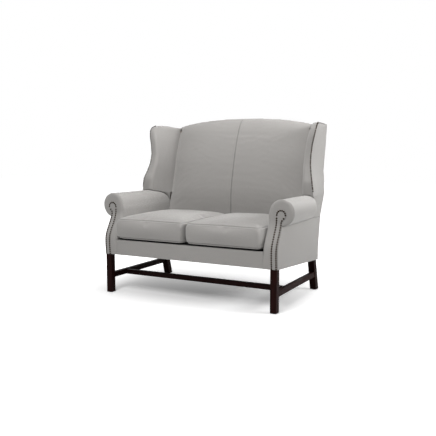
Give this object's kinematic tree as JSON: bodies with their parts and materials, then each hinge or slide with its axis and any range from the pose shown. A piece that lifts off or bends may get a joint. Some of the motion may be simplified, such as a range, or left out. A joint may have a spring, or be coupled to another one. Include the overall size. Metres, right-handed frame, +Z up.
{
  "type": "high back settee",
  "caption": "High back two seat settee with wings, rolled arms with nailed facings, two loose box cushions and square legs joined by stretchers.",
  "frame": {"origin": "on the floor, in the middle of the settee's box", "axes": "+Z up, -Y the front that a sitter faces, +X to the right seen from the front"},
  "size_m": [1.322, 0.8328, 1.131],
  "materials": {
    "show_wood": "satin",
    "frame_wood": "raw",
    "cover_fabric": "woven",
    "black_cloth": "woven",
    "webbing": "woven",
    "nail_metal": "antique",
    "glide": "matte"
  },
  "bodies": {
    "frame": {"front_leg_left": "show_wood", "front_leg_right": "show_wood", "rear_leg_left": "show_wood", "rear_leg_right": "show_wood", "side_stretcher_left": "show_wood", "side_stretcher_right": "show_wood", "cross_stretcher": "show_wood", "leg_glides": "glide", "leg_dowels": "frame_wood", "front_seat_rail": "frame_wood", "rear_seat_rail": "frame_wood", "side_seat_rail_left": "frame_wood", "side_seat_rail_right": "frame_wood", "centre_seat_rail": "frame_wood", "corner_blocks": "frame_wood", "seat_webbing": "webbing", "seat_deck": "black_cloth", "dust_cover": "black_cloth", "arm_post_left": "frame_wood", "arm_post_right": "frame_wood", "arm_board_left": "frame_wood", "arm_board_right": "frame_wood", "back_post_left": "frame_wood", "back_post_right": "frame_wood", "back_top_rail": "frame_wood", "back_lower_rail": "frame_wood", "back_webbing": "webbing", "wing_post_left": "frame_wood", "wing_post_right": "frame_wood", "wing_top_rail_left": "frame_wood", "wing_top_rail_right": "frame_wood", "wing_bottom_rail_left": "frame_wood", "wing_bottom_rail_right": "frame_wood", "front_border": "cover_fabric", "arm_front_left": "cover_fabric", "arm_front_right": "cover_fabric", "arm_pad_left": "cover_fabric", "arm_pad_right": "cover_fabric", "outer_arm_left": "cover_fabric", "outer_arm_right": "cover_fabric", "facing_left": "cover_fabric", "facing_right": "cover_fabric", "facing_nails_left": "nail_metal", "facing_nails_right": "nail_metal", "wing_pad_left": "cover_fabric", "wing_pad_right": "cover_fabric", "wing_outer_left": "cover_fabric", "wing_outer_right": "cover_fabric", "wing_nails_left": "nail_metal", "wing_nails_right": "nail_metal", "inside_back": "cover_fabric", "outside_back": "cover_fabric"},
    "seat_cushion_left_body": {"seat_cushion_left": "cover_fabric"},
    "seat_cushion_right_body": {"seat_cushion_right": "cover_fabric"}
  },
  "joints": [
    {"name": "lift_left_cushion", "type": "slide", "parent": "frame", "child": "seat_cushion_left_body", "axis": [0, 0, 1], "range_m": [0, 0.25]},
    {"name": "lift_right_cushion", "type": "slide", "parent": "frame", "child": "seat_cushion_right_body", "axis": [0, 0, 1], "range_m": [0, 0.25]}
  ]
}
